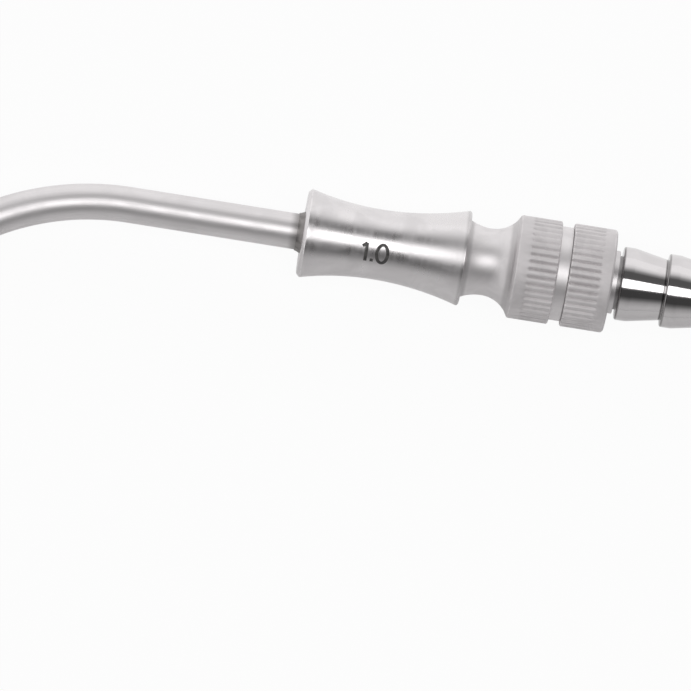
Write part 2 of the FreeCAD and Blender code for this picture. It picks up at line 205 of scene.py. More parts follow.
def along_tube(station):
    """The tube's centre and its sideways direction; stations past the bend run on."""
    past = -FRONT_RUN - station
    turn = min(max(past / BEND_R, 0.0), BEND_TURN)
    beyond = past - BEND_R * turn
    centre = Vector((-FRONT_RUN - BEND_R * math.sin(turn) - beyond * math.cos(turn),
                     -BEND_R * (1 - math.cos(turn)) - beyond * math.sin(turn), 0))
    return centre, Vector((-math.sin(turn), math.cos(turn), 0))


def make_piece(name, vertices, faces, material, body, nodes=()):
    """A smooth mesh, given in the handle's frame, laid down with the part."""
    mesh = bpy.data.meshes.new(name)
    mesh.from_pydata([HANDLE @ Vector(vertex) for vertex in vertices], [], faces)
    mesh.validate()
    mesh.shade_smooth()
    mesh.set_sharp_from_angle(angle=SHARP)
    mesh.materials.append(material)
    piece = bpy.data.objects.new(name, mesh)
    bpy.context.scene.collection.objects.link(piece)
    weighted = piece.modifiers.new("even_normals", "WEIGHTED_NORMAL")
    weighted.keep_sharp = True
    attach(piece, body)
    if nodes:
        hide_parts(*nodes)


def turned(name, outline, material, body, nodes, angles=None, cut=None, place=straight):
    """A closed outline of (station, radius) points carried round the axis.
    cut(station, radius, angle) gives the radius after knurling."""
    angles = angles or around(160)
    columns = len(angles)
    area = sum(outline[index - 1][0] * point[1] - point[0] * outline[index - 1][1]
               for index, point in enumerate(outline))
    if area < 0:
        outline = outline[::-1]
    vertices = []
    for station, radius in outline:
        centre, sideways = place(station)
        for angle in angles:
            size = cut(station, radius, angle) if cut else radius
            vertices.append(centre + sideways * size * math.sin(angle)
                            + Vector((0, 0, size * math.cos(angle))))
    faces = []
    rows = len(outline)
    for row in range(rows):
        following = (row + 1) % rows
        for column in range(columns):
            beside = (column + 1) % columns
            faces.append((row * columns + column, row * columns + beside,
                          following * columns + beside, following * columns + column))
    make_piece(name, vertices, faces, material, body, nodes)


# Pieces

def knurl_cut(start, end, ramp_start, ramp_end):
    """Straight V grooves between two stations, run out over a ramp at either end."""
    pitch = math.tau / KNURLS

    def cut(station, radius, angle):
        if not start < station < end or radius < BAND_R - KNURL_DEPTH:
            return radius
        off_centre = abs((angle / pitch + 0.5) % 1.0 - 0.5) * pitch * BAND_R
        share = max(0.0, 1 - off_centre / (KNURL_WIDTH / 2))
        fade = 1.0
        if ramp_start:
            fade = min(fade, (station - start) / ramp_start)
        if ramp_end:
            fade = min(fade, (end - station) / ramp_end)
        return min(radius, BAND_R - KNURL_DEPTH * share * fade)

    return cut


def knurl_angles():
    """Columns close together at the edges and the floor of each groove."""
    pitch = math.tau / KNURLS
    half = KNURL_WIDTH / 2 / BAND_R / pitch
    shares = [0.0, half * 0.5, half * 0.9, half * 1.1]
    marks = sorted(set([-share for share in shares] + shares + [0.5]))
    return [pitch * (groove + mark) for groove in range(KNURLS) for mark in marks]


def knurl_rows(start, end, ramp_start, ramp_end):
    """Extra corners along a knurled stretch, so that the runouts have rows to bend at."""
    stations = []
    if ramp_start:
        stations += [start + ramp_start * share for share in (0.001, 0.25, 0.5, 0.75, 1.0)]
    stations += [start + (end - start) * share for share in (0.35, 0.5, 0.65)]
    if ramp_end:
        stations += [end - ramp_end * share for share in (1.0, 0.75, 0.5, 0.25, 0.001)]
    return [(station, BAND_R, 0.0) for station in stations]


def make_suction_tube(material):
    bend_start, bend_end = -FRONT_RUN, -FRONT_RUN - BEND_R * BEND_TURN
    run_end = bend_end - END_RUN
    taper_end = run_end - TAPER
    nose_end = taper_end - NOSE
    bend = [bend_start + (bend_end - bend_start) * step / 48 for step in range(49)]
    outside = [(station, TUBE_R, 0.0) for station in [*FRONT_RUN_ROWS, *bend]]
    outside += [(bend_end - END_RUN * share, TUBE_R, 0.0) for share in (0.25, 0.5, 0.75)]
    inside = [(station, TUBE_BORE_R, 0.0) for station in reversed(bend)]
    outline = (
        [(TUBE_REAR, TUBE_BORE_R), (TUBE_REAR, TUBE_R)]
        + outside
        + [(run_end, TUBE_R, TAPER_EASE), (taper_end, NOSE_R, NOSE_EASE)]
        + arc((nose_end + NOSE_ROUNDING, NOSE_R), (nose_end, NOSE_R - NOSE_ROUNDING),
              NOSE_ROUNDING, 8)
        + [(nose_end, NOSE_BORE_R, 0.08), (taper_end, NOSE_BORE_R, BORE_NOSE_EASE),
           (run_end, TUBE_BORE_R, BORE_TAPER_EASE)]
        + inside
    )
    turned("tube_drawn", eased(outline, 6), material, "handle", ["suction_tube"],
           around(96), place=along_tube)


def make_braze(material):
    bore = TUBE_R + BRAZE_GAP
    rise = BRAZE_HEIGHT - BRAZE_EDGE
    outline = [(0.0, bore, 0.0), (0.0, bore + BRAZE_HEIGHT, 0.0)]
    outline += [(-BRAZE_LENGTH * share, bore + BRAZE_EDGE + rise * (1 - share) ** 1.5, 0.0)
                for share in (0.15, 0.3, 0.5, 0.7, 0.85)]
    outline += [(-BRAZE_LENGTH, bore + BRAZE_EDGE, 0.02), (-BRAZE_LENGTH, bore, 0.0)]
    turned("braze_ring", eased(outline, 3), material, "handle", ["solder_fillet"])


def sleeve_radius(station):
    """The sleeve's outer radius between its rims."""
    if station < WAIST_AT:
        run, rise = WAIST_AT - FRONT_CHAMFER, FRONT_RIM_R - WAIST_R
    else:
        run, rise = SLEEVE - REAR_CHAMFER - WAIST_AT, REAR_RIM_R - WAIST_R
    radius = cove(run, rise)
    return WAIST_R + radius - math.sqrt(radius ** 2 - (station - WAIST_AT) ** 2)


def make_sleeve(material):
    bore = TUBE_R + BRAZE_GAP
    crest = SLEEVE - REAR_CHAMFER
    front, waist, rear = (FRONT_CHAMFER, FRONT_RIM_R), (WAIST_AT, WAIST_R), (crest, REAR_RIM_R)
    front_arc = arc(front, waist, cove(WAIST_AT - FRONT_CHAMFER, FRONT_RIM_R - WAIST_R))
    rear_arc = arc(waist, rear, cove(crest - WAIST_AT, REAR_RIM_R - WAIST_R))
    outline = [(0.0, bore, 0.04), (0.0, FRONT_RIM_R - FRONT_CHAMFER, 0.08), front + (0.08,)]
    outline += front_arc[1:] + rear_arc[1:-1]
    outline += [rear + (0.08,), (SLEEVE, REAR_RIM_R - REAR_CHAMFER, 0.08),
                (SLEEVE, SOCKET_R, 0.04), (SOCKET_FLOOR, SOCKET_R), (SOCKET_FLOOR, bore)]
    turned("sleeve_waisted", eased(outline), material, "handle",
           ["grip_sleeve"], around(256))


def make_hub(material):
    seat, plug = TUBE_R + BRAZE_GAP, SOCKET_R - BRAZE_GAP
    spigot = THREAD_R - THREAD_DEPTH
    knurl = (KNURL_FRONT, GROOVE_FRONT + KNURL_PAST, KNURL_RAMP, 0.0)
    front, neck, rear = (SLEEVE, NECK_FRONT_R), (SLEEVE + NECK_AT, NECK_R), (NECK_REAR, COVE_R)
    front_arc = arc(front, neck, cove(NECK_AT, NECK_FRONT_R - NECK_R))
    rear_arc = arc(neck, rear, cove(NECK - NECK_AT, COVE_R - NECK_R))
    outline = [(SOCKET_FLOOR, seat), (SOCKET_FLOOR, plug), (SLEEVE, plug, 0.0)]
    outline += front_arc[:-1] + rear_arc[:-1]
    outline += [rear + (0.1,), (BAND_FRONT, BAND_R, 0.16)]
    outline += knurl_rows(*knurl)
    outline += [(GROOVE_FRONT - EDGE_BREAK, BAND_R), (GROOVE_FRONT, BAND_R - EDGE_BREAK),
                (GROOVE_FRONT, GROOVE_R, 0.12), (GROOVE_REAR, GROOVE_R, 0.06),
                (GROOVE_REAR, spigot), (SPIGOT_END - SPIGOT_CHAMFER, spigot),
                (SPIGOT_END, spigot - SPIGOT_CHAMFER), (SPIGOT_END, PILOT_R + PILOT_GAP),
                (PILOT_FLOOR, PILOT_R + PILOT_GAP), (PILOT_FLOOR, TUBE_BORE_R),
                (TUBE_REAR, TUBE_BORE_R), (TUBE_REAR, seat)]
    turned("hub_satin", eased(outline), material, "handle", ["coupling_hub"],
           knurl_angles(), knurl_cut(*knurl))


def make_nut(material):
    bore, hole = THREAD_R + THREAD_GAP, JOURNAL_R + JOURNAL_GAP
    knurl = (NUT_FRONT - KNURL_PAST, NUT_REAR - REAR_LAND, 0.0, KNURL_RAMP)
    outline = [(NUT_FRONT, bore), (NUT_FRONT, BAND_R - EDGE_BREAK),
               (NUT_FRONT + EDGE_BREAK, BAND_R)]
    outline += knurl_rows(*knurl)
    outline += [(NUT_REAR - NUT_CHAMFER, BAND_R, 0.1), (NUT_REAR, BAND_R - NUT_CHAMFER, 0.1),
                (NUT_REAR, hole, 0.08), (FLANGE_REAR, hole), (FLANGE_REAR, bore)]
    turned("nut_satin", eased(outline), material, "nut", ["coupling_nut"],
           knurl_angles(), knurl_cut(*knurl))


def make_seal(material):
    bore = PILOT_R + PILOT_GAP
    outline = [(SPIGOT_END, bore, 0.1), (SPIGOT_END, SEAL_R, 0.1),
               (FLANGE_FRONT, SEAL_R, 0.1), (FLANGE_FRONT, bore, 0.1)]
    turned("gasket_flat", eased(outline), material, "nozzle", ["seal_ring"])


def make_nozzle(material):
    outline = [(PILOT_FRONT, TAIL_BORE_R), (PILOT_FRONT, PILOT_R - EDGE_BREAK),
               (PILOT_FRONT + EDGE_BREAK, PILOT_R), (FLANGE_FRONT, PILOT_R),
               (FLANGE_FRONT, FLANGE_R), (FLANGE_REAR, FLANGE_R), (FLANGE_REAR, JOURNAL_R),
               (NUT_REAR, JOURNAL_R, 0.06), (NUT_REAR, COLLAR_R), (RELIEF_FRONT, COLLAR_R, 0.08),
               (RELIEF_FRONT, RELIEF_R), (COLLAR_REAR, RELIEF_R)]
    for barb in range(BARBS):
        crest = COLLAR_REAR + BARB_PITCH * barb
        foot = crest + BARB_PITCH - BARB_UNDERCUT
        outline += [(crest, BARB_R, BARB_EDGE * 1.5), (crest + BARB_LAND, BARB_R, 0.12),
                    (foot, BARB_ROOT_R, 0.06)]
        if barb + 1 < BARBS:
            outline.append((foot + BARB_UNDERCUT, BARB_ROOT_R, 0.03))
    outline += [(TAIL_END - TAIL_LIP, BARB_ROOT_R, 0.1), (TAIL_END, BARB_ROOT_R - TAIL_LIP, 0.16),
                (TAIL_END, TAIL_BORE_R, 0.1)]
    turned("nozzle_barbed", eased(outline, 6), material, "nozzle",
           ["hose_nozzle"], around(224))


def make_thread(material):
    """The ridge of the screw thread on the hub's spigot, seen when the nut is backed off."""
    root, crest = THREAD_R - THREAD_DEPTH - THREAD_SINK, THREAD_R - THREAD_HELD
    start = GROOVE_REAR + THREAD_LEAD
    end = SPIGOT_END - SPIGOT_CHAMFER - THREAD_END
    turns = (end - start) / THREAD_PITCH
    count = int(60 * turns)
    section = ((-THREAD_FOOT, root), (-THREAD_CREST, crest), (THREAD_CREST, crest),
               (THREAD_FOOT, root))
    taper, thinnest = 0.12, 0.2
    vertices = []
    for step in range(count + 1):
        share = step / count
        angle = -math.tau * turns * share
        swell = min(1.0, share / taper, (1 - share) / taper)
        for offset, radius in section:
            size = root + (radius - root) * swell
            vertices.append((start + (end - start) * share + offset * max(swell, thinnest),
                             size * math.sin(angle), size * math.cos(angle)))
    faces = []
    for step in range(count):
        for edge in range(4):
            here, beside = step * 4 + edge, step * 4 + (edge + 1) % 4
            faces.append((here, here + 4, beside + 4, beside))
    faces += [(0, 1, 2, 3), tuple(count * 4 + edge for edge in (3, 2, 1, 0))]
    make_piece("thread_ridge", vertices, faces, material, "handle")


def digit_one(height):
    """Strokes as lists of points, like those of the nought and the point below."""
    return [[(-0.22 * height, 0.80 * height), (0.0, height)], [(0.0, height), (0.0, 0.0)]]


def digit_nought(height):
    across, up = 0.29 * height, 0.5 * height
    ring = [(across * math.cos(math.tau * step / 28), up + up * math.sin(math.tau * step / 28))
            for step in range(28)]
    return [ring + ring[:2]]


def point_mark(height):
    return [[(0.0, 0.0), (0.0, 0.17 * height)]]


def make_size_mark(material):
    """The bore size, 1.0, lightly etched along the sleeve."""
    strokes = []
    for shape, shift in ((digit_one, 0.0), (point_mark, POINT_AT), (digit_nought, NOUGHT_AT)):
        for path in shape(MARK_HEIGHT):
            strokes.append([(x + shift * MARK_HEIGHT, y) for x, y in path])
    vertices, faces = [], []
    for path in strokes:
        first = len(vertices)
        points = [Vector(path[0])]
        for corner in path[1:]:
            run = Vector(corner) - points[-1]
            parts = max(1, math.ceil(run.length / MARK_STEP))
            points += [points[-1] + run * part / parts for part in range(1, parts + 1)]
        for index, point in enumerate(points):
            before, after = points[max(index - 1, 0)], points[min(index + 1, len(points) - 1)]
            along = (after - before).normalized()
            aside = Vector((-along.y, along.x)) * MARK_STROKE / 2
            for edge in (point + aside, point - aside):
                station = MARK_AT + edge.x
                angle = MARK_TURN + edge.y / sleeve_radius(MARK_AT)
                for rise in (MARK_RISE, -MARK_RISE):
                    size = sleeve_radius(station) + rise
                    vertices.append((station, size * math.sin(angle), size * math.cos(angle)))
        last = first + 4 * (len(points) - 1)
        for row in range(first, last, 4):
            faces += [(row, row + 2, row + 6, row + 4), (row + 1, row + 5, row + 7, row + 3),
                      (row, row + 4, row + 5, row + 1), (row + 2, row + 3, row + 7, row + 6)]
        faces += [(first, first + 1, first + 3, first + 2), (last, last + 2, last + 3, last + 1)]
    make_piece("size_mark", vertices, faces, material, "handle")


# Finishes

def add(tree, kind, inputs=None, **settings):
    """A new node; each input is a value or another node's output."""
    made = tree.nodes.new(kind)
    for name, value in settings.items():
        setattr(made, name, value)
    for key, value in (inputs or {}).items():
        if isinstance(value, bpy.types.NodeSocket):
            tree.links.new(value, made.inputs[key])
        else:
            made.inputs[key].default_value = value
    return made


def maths(tree, operation, *values, clamp=False):
    return add(tree, "ShaderNodeMath", dict(enumerate(values)),
               operation=operation, use_clamp=clamp).outputs[0]


def spread(tree, value, low, high, to_low=0.0, to_high=1.0):
    """The value stretched smoothly from one range to another."""
    return add(tree, "ShaderNodeMapRange",
               {"Value": value, "From Min": low, "From Max": high,
                "To Min": to_low, "To Max": to_high},
               interpolation_type="SMOOTHSTEP").outputs[0]


def noise(tree, place, scale, detail=2.0, roughness=0.5, dimensions="3D"):
    key = "W" if dimensions == "1D" else "Vector"
    return add(tree, "ShaderNodeTexNoise",
               {key: place, "Scale": scale, "Detail": detail, "Roughness": roughness},
               noise_dimensions=dimensions).outputs[0]


def effect(name, inputs, outputs):
    """A node group with named inputs and outputs, and its two end nodes' sockets."""
    tree = bpy.data.node_groups.new(name, "ShaderNodeTree")
    for label, value in inputs.items():
        socket = tree.interface.new_socket(label, in_out="INPUT", socket_type="NodeSocketFloat")
        socket.default_value = value
    for label, kind in outputs.items():
        tree.interface.new_socket(label, in_out="OUTPUT", socket_type="NodeSocket" + kind)
    return tree, tree.nodes.new("NodeGroupInput").outputs, tree.nodes.new("NodeGroupOutput").inputs


def use(tree, group, **inputs):
    """An effect placed in a material or another effect, with its own values."""
    made = tree.nodes.new("ShaderNodeGroup")
    made.node_tree = group
    for key, value in inputs.items():
        if isinstance(value, bpy.types.NodeSocket):
            tree.links.new(value, made.inputs[key])
        else:
            made.inputs[key].default_value = value
    return made.outputs


def make_handle_place():
    """Where a point lies on the handle: its station, its radius, and all three in millimetres."""
    tree, _, outputs = effect("handle_place", {}, {"Place": "Vector", "Station": "Float",
                                                   "Radius": "Float"})
    shift, turn, scale = HANDLE.inverted().decompose()
    place = add(tree, "ShaderNodeMapping",
                {"Vector": add(tree, "ShaderNodeTexCoord").outputs["Object"], "Location": shift,
                 "Rotation": turn.to_euler(), "Scale": scale}).outputs[0]
    parts = add(tree, "ShaderNodeSeparateXYZ", {0: place}).outputs
    square = maths(tree, "ADD", maths(tree, "MULTIPLY", parts[1], parts[1]),
                   maths(tree, "MULTIPLY", parts[2], parts[2]))
    tree.links.new(place, outputs["Place"])
    tree.links.new(parts[0], outputs["Station"])
    tree.links.new(maths(tree, "SQRT", square), outputs["Radius"])
    return tree


def make_turning_lines(handle_place):
    """Fine rings left by the lathe, on round faces and end faces alike."""
    tree, inputs, outputs = effect("turning_lines", {"Pitch": 0.2, "Waver": 0.3},
                                   {"Lines": "Float"})
    place = use(tree, handle_place)
    run = maths(tree, "ADD", place["Station"], place["Radius"])
    waver = maths(tree, "MULTIPLY", noise(tree, place["Place"], 0.35, 1.0), inputs["Waver"])
    rings = noise(tree, maths(tree, "ADD", maths(tree, "DIVIDE", run, inputs["Pitch"]), waver),
                  1.0, 1.0, 0.5, "1D")
    fade = noise(tree, place["Place"], 0.9, 1.0)
    tree.links.new(maths(tree, "MULTIPLY", rings, maths(tree, "ADD", fade, 0.5)), outputs["Lines"])
    return tree


def make_blasted_grain(handle_place):
    """The fine dimples of a bead-blasted face."""
    tree, inputs, outputs = effect("blasted_grain", {"Size": 0.1}, {"Grain": "Float"})
    place = use(tree, handle_place)["Place"]
    scale = maths(tree, "DIVIDE", 1.0, inputs["Size"])
    dimples = add(tree, "ShaderNodeTexVoronoi", {"Vector": place, "Scale": scale},
                  feature="SMOOTH_F1").outputs["Distance"]
    uneven = noise(tree, place, maths(tree, "MULTIPLY", scale, 0.6), 3.0, 0.6)
    tree.links.new(maths(tree, "ADD", maths(tree, "MULTIPLY", dimples, 0.5),
                         maths(tree, "MULTIPLY", uneven, 0.5)), outputs["Grain"])
    return tree


def make_hairlines(handle_place):
    """Light scratches from handling and cleaning, at two slants."""
    tree, inputs, outputs = effect("hairlines", {"Share": 0.3}, {"Scratches": "Float"})
    place = use(tree, handle_place)["Place"]
    found = []
    for slant, seed in ((0.5, 0.0), (-0.9, 7.3)):
        laid = add(tree, "ShaderNodeMapping",
                   {"Vector": place, "Location": (seed,) * 3,
                    "Rotation": (0.3, slant, slant), "Scale": (7.0, 0.16, 0.16)},
                   vector_type="TEXTURE").outputs[0]
        found.append(noise(tree, laid, 1.0, 2.0, 0.5))
    highest = maths(tree, "MAXIMUM", *found)
    limit = maths(tree, "SUBTRACT", 0.8, maths(tree, "MULTIPLY", inputs["Share"], 0.3))
    tree.links.new(spread(tree, highest, limit, maths(tree, "ADD", limit, 0.06)),
                   outputs["Scratches"])
    return tree


def make_worn_edges(handle_place):
    """A turned edge at a station, rubbed bright a little unevenly."""
    tree, inputs, outputs = effect("worn_edges", {"Edge": 0.0, "Reach": 0.1}, {"Wear": "Float"})
    place = use(tree, handle_place)
    away = maths(tree, "ABSOLUTE", maths(tree, "SUBTRACT", place["Station"], inputs["Edge"]))
    uneven = spread(tree, noise(tree, place["Place"], 1.4, 2.0), 0.3, 0.6)
    near = spread(tree, maths(tree, "DIVIDE", away, inputs["Reach"]), 0.3, 1.0, 1.0, 0.0)
    tree.links.new(maths(tree, "MULTIPLY", near, uneven), outputs["Wear"])
    return tree


def make_wiped_haze(handle_place):
    """The uneven sheen of a wiped instrument."""
    tree, inputs, outputs = effect("wiped_haze", {"Size": 3.0}, {"Haze": "Float"})
    place = use(tree, handle_place)["Place"]
    scale = maths(tree, "DIVIDE", 1.0, inputs["Size"])
    patches = add(tree, "ShaderNodeTexNoise",
                  {"Vector": place, "Scale": scale, "Detail": 3.0, "Roughness": 0.55,
                   "Distortion": 0.8}).outputs[0]
    tree.links.new(spread(tree, patches, 0.35, 0.7), outputs["Haze"])
    return tree


def worn(tree, effects, edges, reach):
    """The wear of several edges together."""
    wear = 0.0
    for edge in edges:
        wear = maths(tree, "MAXIMUM", wear,
                     use(tree, effects["worn_edges"], Edge=edge, Reach=reach)["Wear"])
    return wear


def across_tube(tree, place):
    """The tube's own sideways and upright place, so that its draw lines follow the bend."""
    parts = add(tree, "ShaderNodeSeparateXYZ", {0: place}).outputs
    past = maths(tree, "SUBTRACT", -FRONT_RUN, parts[0])
    over = maths(tree, "ADD", parts[1], BEND_R)
    turn = maths(tree, "MINIMUM", maths(tree, "MAXIMUM", maths(tree, "ARCTAN2", past, over), 0.0),
                 BEND_TURN)
    sideways = maths(tree, "SUBTRACT",
                     maths(tree, "ADD", maths(tree, "MULTIPLY", past, maths(tree, "SINE", turn)),
                           maths(tree, "MULTIPLY", over, maths(tree, "COSINE", turn))), BEND_R)
    along = maths(tree, "MULTIPLY", parts[0], 0.02)
    return add(tree, "ShaderNodeCombineXYZ", {0: along, 1: sideways, 2: parts[2]}).outputs[0]


def mix(tree, share, first, second):
    """A colour between two, by a mask; the Mix node has its colours at 6, 7 and 2."""
    made = add(tree, "ShaderNodeMix", {0: share}, data_type="RGBA")
    for socket, value in ((made.inputs[6], first), (made.inputs[7], second)):
        if isinstance(value, bpy.types.NodeSocket):
            tree.links.new(value, socket)
        else:
            socket.default_value = (*value, 1.0)
    return made.outputs[2]


def steel(level):
    """The colour of stainless steel, a grey with a breath of rose in it."""
    return tuple(level * part for part in STEEL_TINT)


def new_finish(name):
    """A material with its shader, and its node tree."""
    material = bpy.data.materials.new(name)
    material.use_nodes = True
    tree = material.node_tree
    return material, tree, tree.nodes["Principled BSDF"]


def bump(tree, shader, height, depth):
    """Relief on the finish; depth is in millimetres."""
    made = add(tree, "ShaderNodeBump", {"Height": height, "Distance": depth * MM})
    tree.links.new(made.outputs[0], shader.inputs["Normal"])


def make_polished_steel(name, colour, dull, effects, rough, pitch, depth, edges, seam=None,
                        barbed=False):
    """Turned and polished steel; dull is the colour in its haze, rough its lowest roughness,
    pitch and depth are those of its turning lines, and edges its worn stations.
    It is darker just in front of the station seam.
    On the barbed nozzle the collar is left satin, and painted shade darkens the relief behind it
    and the front edge of each barb."""
    material, tree, shader = new_finish(name)
    shader.inputs["Metallic"].default_value = 1.0
    lines = use(tree, effects["turning_lines"], Pitch=pitch)["Lines"]
    scratches = use(tree, effects["hairlines"], Share=0.35)["Scratches"]
    haze = use(tree, effects["wiped_haze"], Size=3.5)["Haze"]
    toned = mix(tree, worn(tree, effects, edges, 0.1), mix(tree, haze, colour, dull),
                [min(1.0, part * 1.1) for part in colour])
    rougher = maths(tree, "ADD", maths(tree, "MULTIPLY", haze, rough * 0.4),
                    maths(tree, "MULTIPLY", scratches, rough * 0.6))
    rougher = maths(tree, "ADD", rougher, maths(tree, "ADD", rough,
                    maths(tree, "MULTIPLY", lines, rough * 0.3)))
    station = use(tree, effects["handle_place"])["Station"]
    if seam:
        # Darker just in front of the seam.
        rim_darkening = maths(tree, "MULTIPLY", spread(tree, station, seam - 0.65, seam - 0.3), 0.4)
        toned = mix(tree, rim_darkening, toned, steel(DARK_STEEL))
    if barbed:
        rougher = maths(tree, "MAXIMUM", rougher,
                        spread(tree, station, COLLAR_REAR - 0.05, COLLAR_REAR, 0.4, 0.0))
        # Painted shade: the relief behind the collar and the front edge of each barb are darkened.
        from_barb = maths(tree, "WRAP", maths(tree, "SUBTRACT", station, COLLAR_REAR),
                          BARB_PITCH - RELIEF, -RELIEF)
        relief_shade = maths(tree, "SUBTRACT", spread(tree, from_barb, -RELIEF * 0.95, -RELIEF * 0.7),
                        spread(tree, from_barb, BARB_EDGE * 0.7, BARB_EDGE * 1.8))
        toned = mix(tree, maths(tree, "MULTIPLY", relief_shade, 0.6), toned, CREVICE_SHADE)
    tree.links.new(toned, shader.inputs["Base Color"])
    tree.links.new(rougher, shader.inputs["Roughness"])
    relief = maths(tree, "SUBTRACT", lines, maths(tree, "MULTIPLY", scratches, 0.06))
    bump(tree, shader, relief, depth)
    return material


def make_satin_steel(effects):
    """Bead-blasted steel, rubbed brighter on the crests at its band edges, with painted shade in
    the knurl's grooves, in the cove before the shoulder and behind the sleeve's rim.
    """
    material, tree, shader = new_finish("steel_satin")
    shader.inputs["Metallic"].default_value = 1.0
    smooth, knurled, fleck, hazy, rubbed = map(steel, (0.78, 0.73, 0.82, 0.56, 0.80))
    radius = use(tree, effects["handle_place"])["Radius"]
    station = use(tree, effects["handle_place"])["Station"]
    grain = use(tree, effects["blasted_grain"], Size=0.11)["Grain"]
    haze = use(tree, effects["wiped_haze"], Size=2.5)["Haze"]
    lines = use(tree, effects["turning_lines"], Pitch=0.16)["Lines"]
    band = spread(tree, radius, GROOVE_R + 0.04, GROOVE_R + 0.16)
    edges = (BAND_FRONT, GROOVE_FRONT - EDGE_BREAK, NUT_FRONT + EDGE_BREAK, NUT_REAR - NUT_CHAMFER)
    wear = maths(tree, "MULTIPLY", worn(tree, effects, edges, 0.12),
                 spread(tree, radius, BAND_R - 0.12, BAND_R - 0.04))
    # Painted shade: darker in the knurl's grooves, in the cove before the band's shoulder and on
    # the neck just behind the sleeve's rim.
    groove = spread(tree, radius, BAND_R - KNURL_DEPTH * 0.8, BAND_R - 0.03, 0.1, 0.0)
    shoulder = maths(tree, "SUBTRACT", spread(tree, station, NECK_REAR - 0.75, NECK_REAR - 0.3),
                     spread(tree, station, NECK_REAR, BAND_FRONT - 0.05))
    behind_rim = spread(tree, station, SLEEVE + 0.2, SLEEVE + 0.6, 1.0, 0.0)
    corners = maths(tree, "MULTIPLY", maths(tree, "MAXIMUM", shoulder, behind_rim), 0.45)
    painted_shade = maths(tree, "MAXIMUM", maths(tree, "MULTIPLY", band, groove), corners)
    plain = mix(tree, band, smooth, knurled)
    speckled = mix(tree, maths(tree, "MULTIPLY", grain, 0.5), plain, fleck)
    hazed = mix(tree, maths(tree, "MULTIPLY", haze, 0.3), speckled, hazy)
    shaded = mix(tree, painted_shade, hazed, steel(DARK_STEEL))
    tree.links.new(mix(tree, maths(tree, "MULTIPLY", wear, 0.5), shaded, rubbed),
                   shader.inputs["Base Color"])
    rough = maths(tree, "ADD", maths(tree, "MULTIPLY", band, 0.24),
                  maths(tree, "ADD", 0.42, maths(tree, "MULTIPLY", grain, 0.1)))
    tree.links.new(maths(tree, "SUBTRACT", rough, maths(tree, "MULTIPLY", wear, 0.1)),
                   shader.inputs["Roughness"])
    relief = maths(tree, "ADD", maths(tree, "MULTIPLY", grain, maths(tree, "ADD", band, 0.4)),
                   maths(tree, "MULTIPLY", lines, 0.4))
    bump(tree, shader, relief, 0.005)
    return material


def make_drawn_steel(effects):
    """Tube steel with draw lines along it, light cross marks from polishing, and the grey
    that the heat of brazing leaves beside the braze ring."""
    material, tree, shader = new_finish("steel_drawn")
    shader.inputs["Metallic"].default_value = 1.0
    place = use(tree, effects["handle_place"])["Place"]
    drawn = noise(tree, across_tube(tree, place), 4.5, 3.0, 0.6)
    scratches = use(tree, effects["hairlines"], Share=0.3)["Scratches"]
    haze = use(tree, effects["wiped_haze"], Size=5.0)["Haze"]
    station = use(tree, effects["handle_place"])["Station"]
    heat = maths(tree, "MULTIPLY", spread(tree, station, -HEAT_REACH, -BRAZE_LENGTH), 0.75)
    bright, dull, streak = map(steel, (0.80, 0.75, 0.66))
    tinted = mix(tree, haze, bright, dull)
    streaked = mix(tree, spread(tree, drawn, 0.3, 0.7, 0.0, 0.3), tinted, streak)
    tree.links.new(mix(tree, heat, streaked, GREYED), shader.inputs["Base Color"])
    rough = maths(tree, "ADD", maths(tree, "MULTIPLY", drawn, 0.1),
                  maths(tree, "MULTIPLY", haze, 0.05))
    tree.links.new(maths(tree, "ADD", rough, maths(tree, "ADD", 0.38,
                         maths(tree, "MULTIPLY", scratches, 0.08))), shader.inputs["Roughness"])
    relief = maths(tree, "SUBTRACT", drawn, maths(tree, "MULTIPLY", scratches, 0.2))
    bump(tree, shader, relief, 0.004)
    return material


def make_braze_alloy(effects):
    """Silver brazing alloy, faintly golden and darkened by heat, and darker still as painted shade
    from the sleeve's front face.
    """
    material, tree, shader = new_finish("alloy_brazed")
    shader.inputs["Metallic"].default_value = 1.0
    grain = use(tree, effects["blasted_grain"], Size=0.25)["Grain"]
    haze = use(tree, effects["wiped_haze"], Size=0.9)["Haze"]
    # These greys include painted shade from the sleeve's front face.
    bright, dull, speck = (0.305, 0.288, 0.282), (0.194, 0.183, 0.180), (0.388, 0.366, 0.358)
    toned = mix(tree, haze, bright, dull)
    tree.links.new(mix(tree, maths(tree, "MULTIPLY", grain, 0.4), toned, speck),
                   shader.inputs["Base Color"])
    tree.links.new(spread(tree, grain, 0.2, 0.8, 0.36, 0.55), shader.inputs["Roughness"])
    bump(tree, shader, grain, 0.02)
    return material


def make_silicone(effects):
    """The flat gasket: pale, slightly clear, with the bloom of moulded silicone."""
    material, tree, shader = new_finish("silicone_gasket")
    grain = use(tree, effects["blasted_grain"], Size=0.2)["Grain"]
    haze = use(tree, effects["wiped_haze"], Size=1.5)["Haze"]
    clean, bloomed = (0.66, 0.67, 0.66), (0.56, 0.57, 0.565)
    tree.links.new(mix(tree, haze, clean, bloomed), shader.inputs["Base Color"])
    tree.links.new(spread(tree, grain, 0.2, 0.8, 0.42, 0.6), shader.inputs["Roughness"])
    bump(tree, shader, grain, 0.008)
    return material


